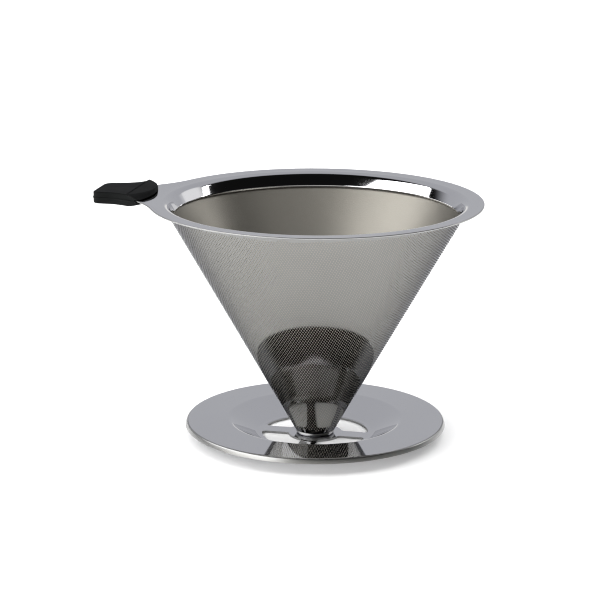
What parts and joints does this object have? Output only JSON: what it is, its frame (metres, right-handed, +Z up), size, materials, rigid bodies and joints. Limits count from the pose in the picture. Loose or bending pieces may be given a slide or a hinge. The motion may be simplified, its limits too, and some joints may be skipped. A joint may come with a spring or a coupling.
{
  "type": "pour over coffee dripper",
  "caption": "Double-walled stainless steel coffee filter cone with a wide flat rim and a silicone-covered handle tab, fixed on a round saucer stand with drip openings.",
  "frame": {"origin": "on the cone's axis, in the plane that the dripper stands on", "axes": "+Z up along the cone's axis; the handle tab points along -X; +Y completes the right-handed frame"},
  "size_m": [0.1473, 0.125, 0.0927],
  "materials": {
    "collar_steel": "polished stainless steel",
    "perforated_steel": "polished stainless sheet with fine etched perforation",
    "woven_steel": "fine woven stainless mesh",
    "tip_steel": "stainless steel",
    "saucer_steel": "polished stainless steel",
    "black_silicone": "matte black silicone"
  },
  "bodies": {
    "dripper": {"rim_collar": "collar_steel", "outer_filter_cone": "perforated_steel", "inner_mesh_cone": "woven_steel", "inner_tip_cup": "tip_steel", "tip_disc": "tip_steel", "hub_rivet": "tip_steel", "saucer_stand": "saucer_steel"},
    "grip": {"grip_sleeve": "black_silicone"}
  },
  "joints": [
    {"name": "grip_slide", "type": "slide", "parent": "dripper", "child": "grip", "axis": [-1, 0, 0], "range_m": [0, 0.02]}
  ]
}
